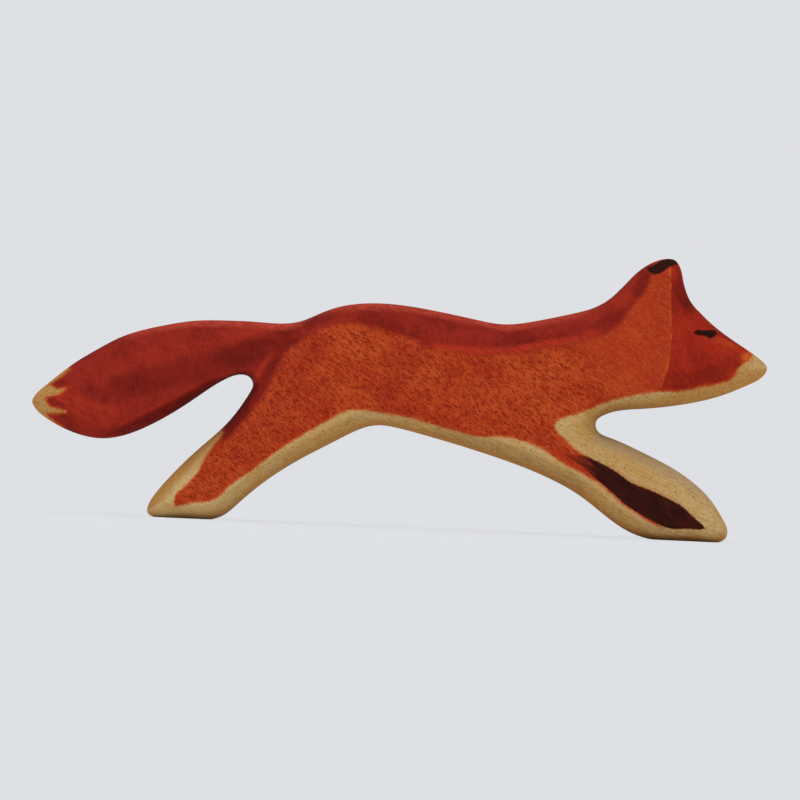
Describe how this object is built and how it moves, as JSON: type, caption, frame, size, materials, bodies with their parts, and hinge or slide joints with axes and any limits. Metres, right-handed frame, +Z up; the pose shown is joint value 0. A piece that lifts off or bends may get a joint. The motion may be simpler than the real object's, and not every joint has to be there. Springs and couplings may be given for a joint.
{
  "type": "wooden fox figurine",
  "caption": "Running fox sawn from a wooden board, sanded round and brush-painted orange-red on both sides, standing on its fore and hind paws.",
  "frame": {"origin": "on the ground, under the middle of the fox's length and thickness", "axes": "+X towards the nose, +Z up, +Y towards the fox's left side, across the thickness of the board"},
  "size_m": [0.18, 0.0222, 0.0693],
  "materials": {
    "stained_wood": "pale fine-grained wood with a translucent orange-red stain in brush strokes, satin",
    "dark_paint": "opaque dark brown paint, satin"
  },
  "bodies": {
    "root": {"wooden_body": "stained_wood", "right_eye": "dark_paint", "left_eye": "dark_paint", "right_ear_mark": "dark_paint", "left_ear_mark": "dark_paint", "right_leg_stripe": "dark_paint", "left_leg_stripe": "dark_paint"}
  },
  "joints": []
}
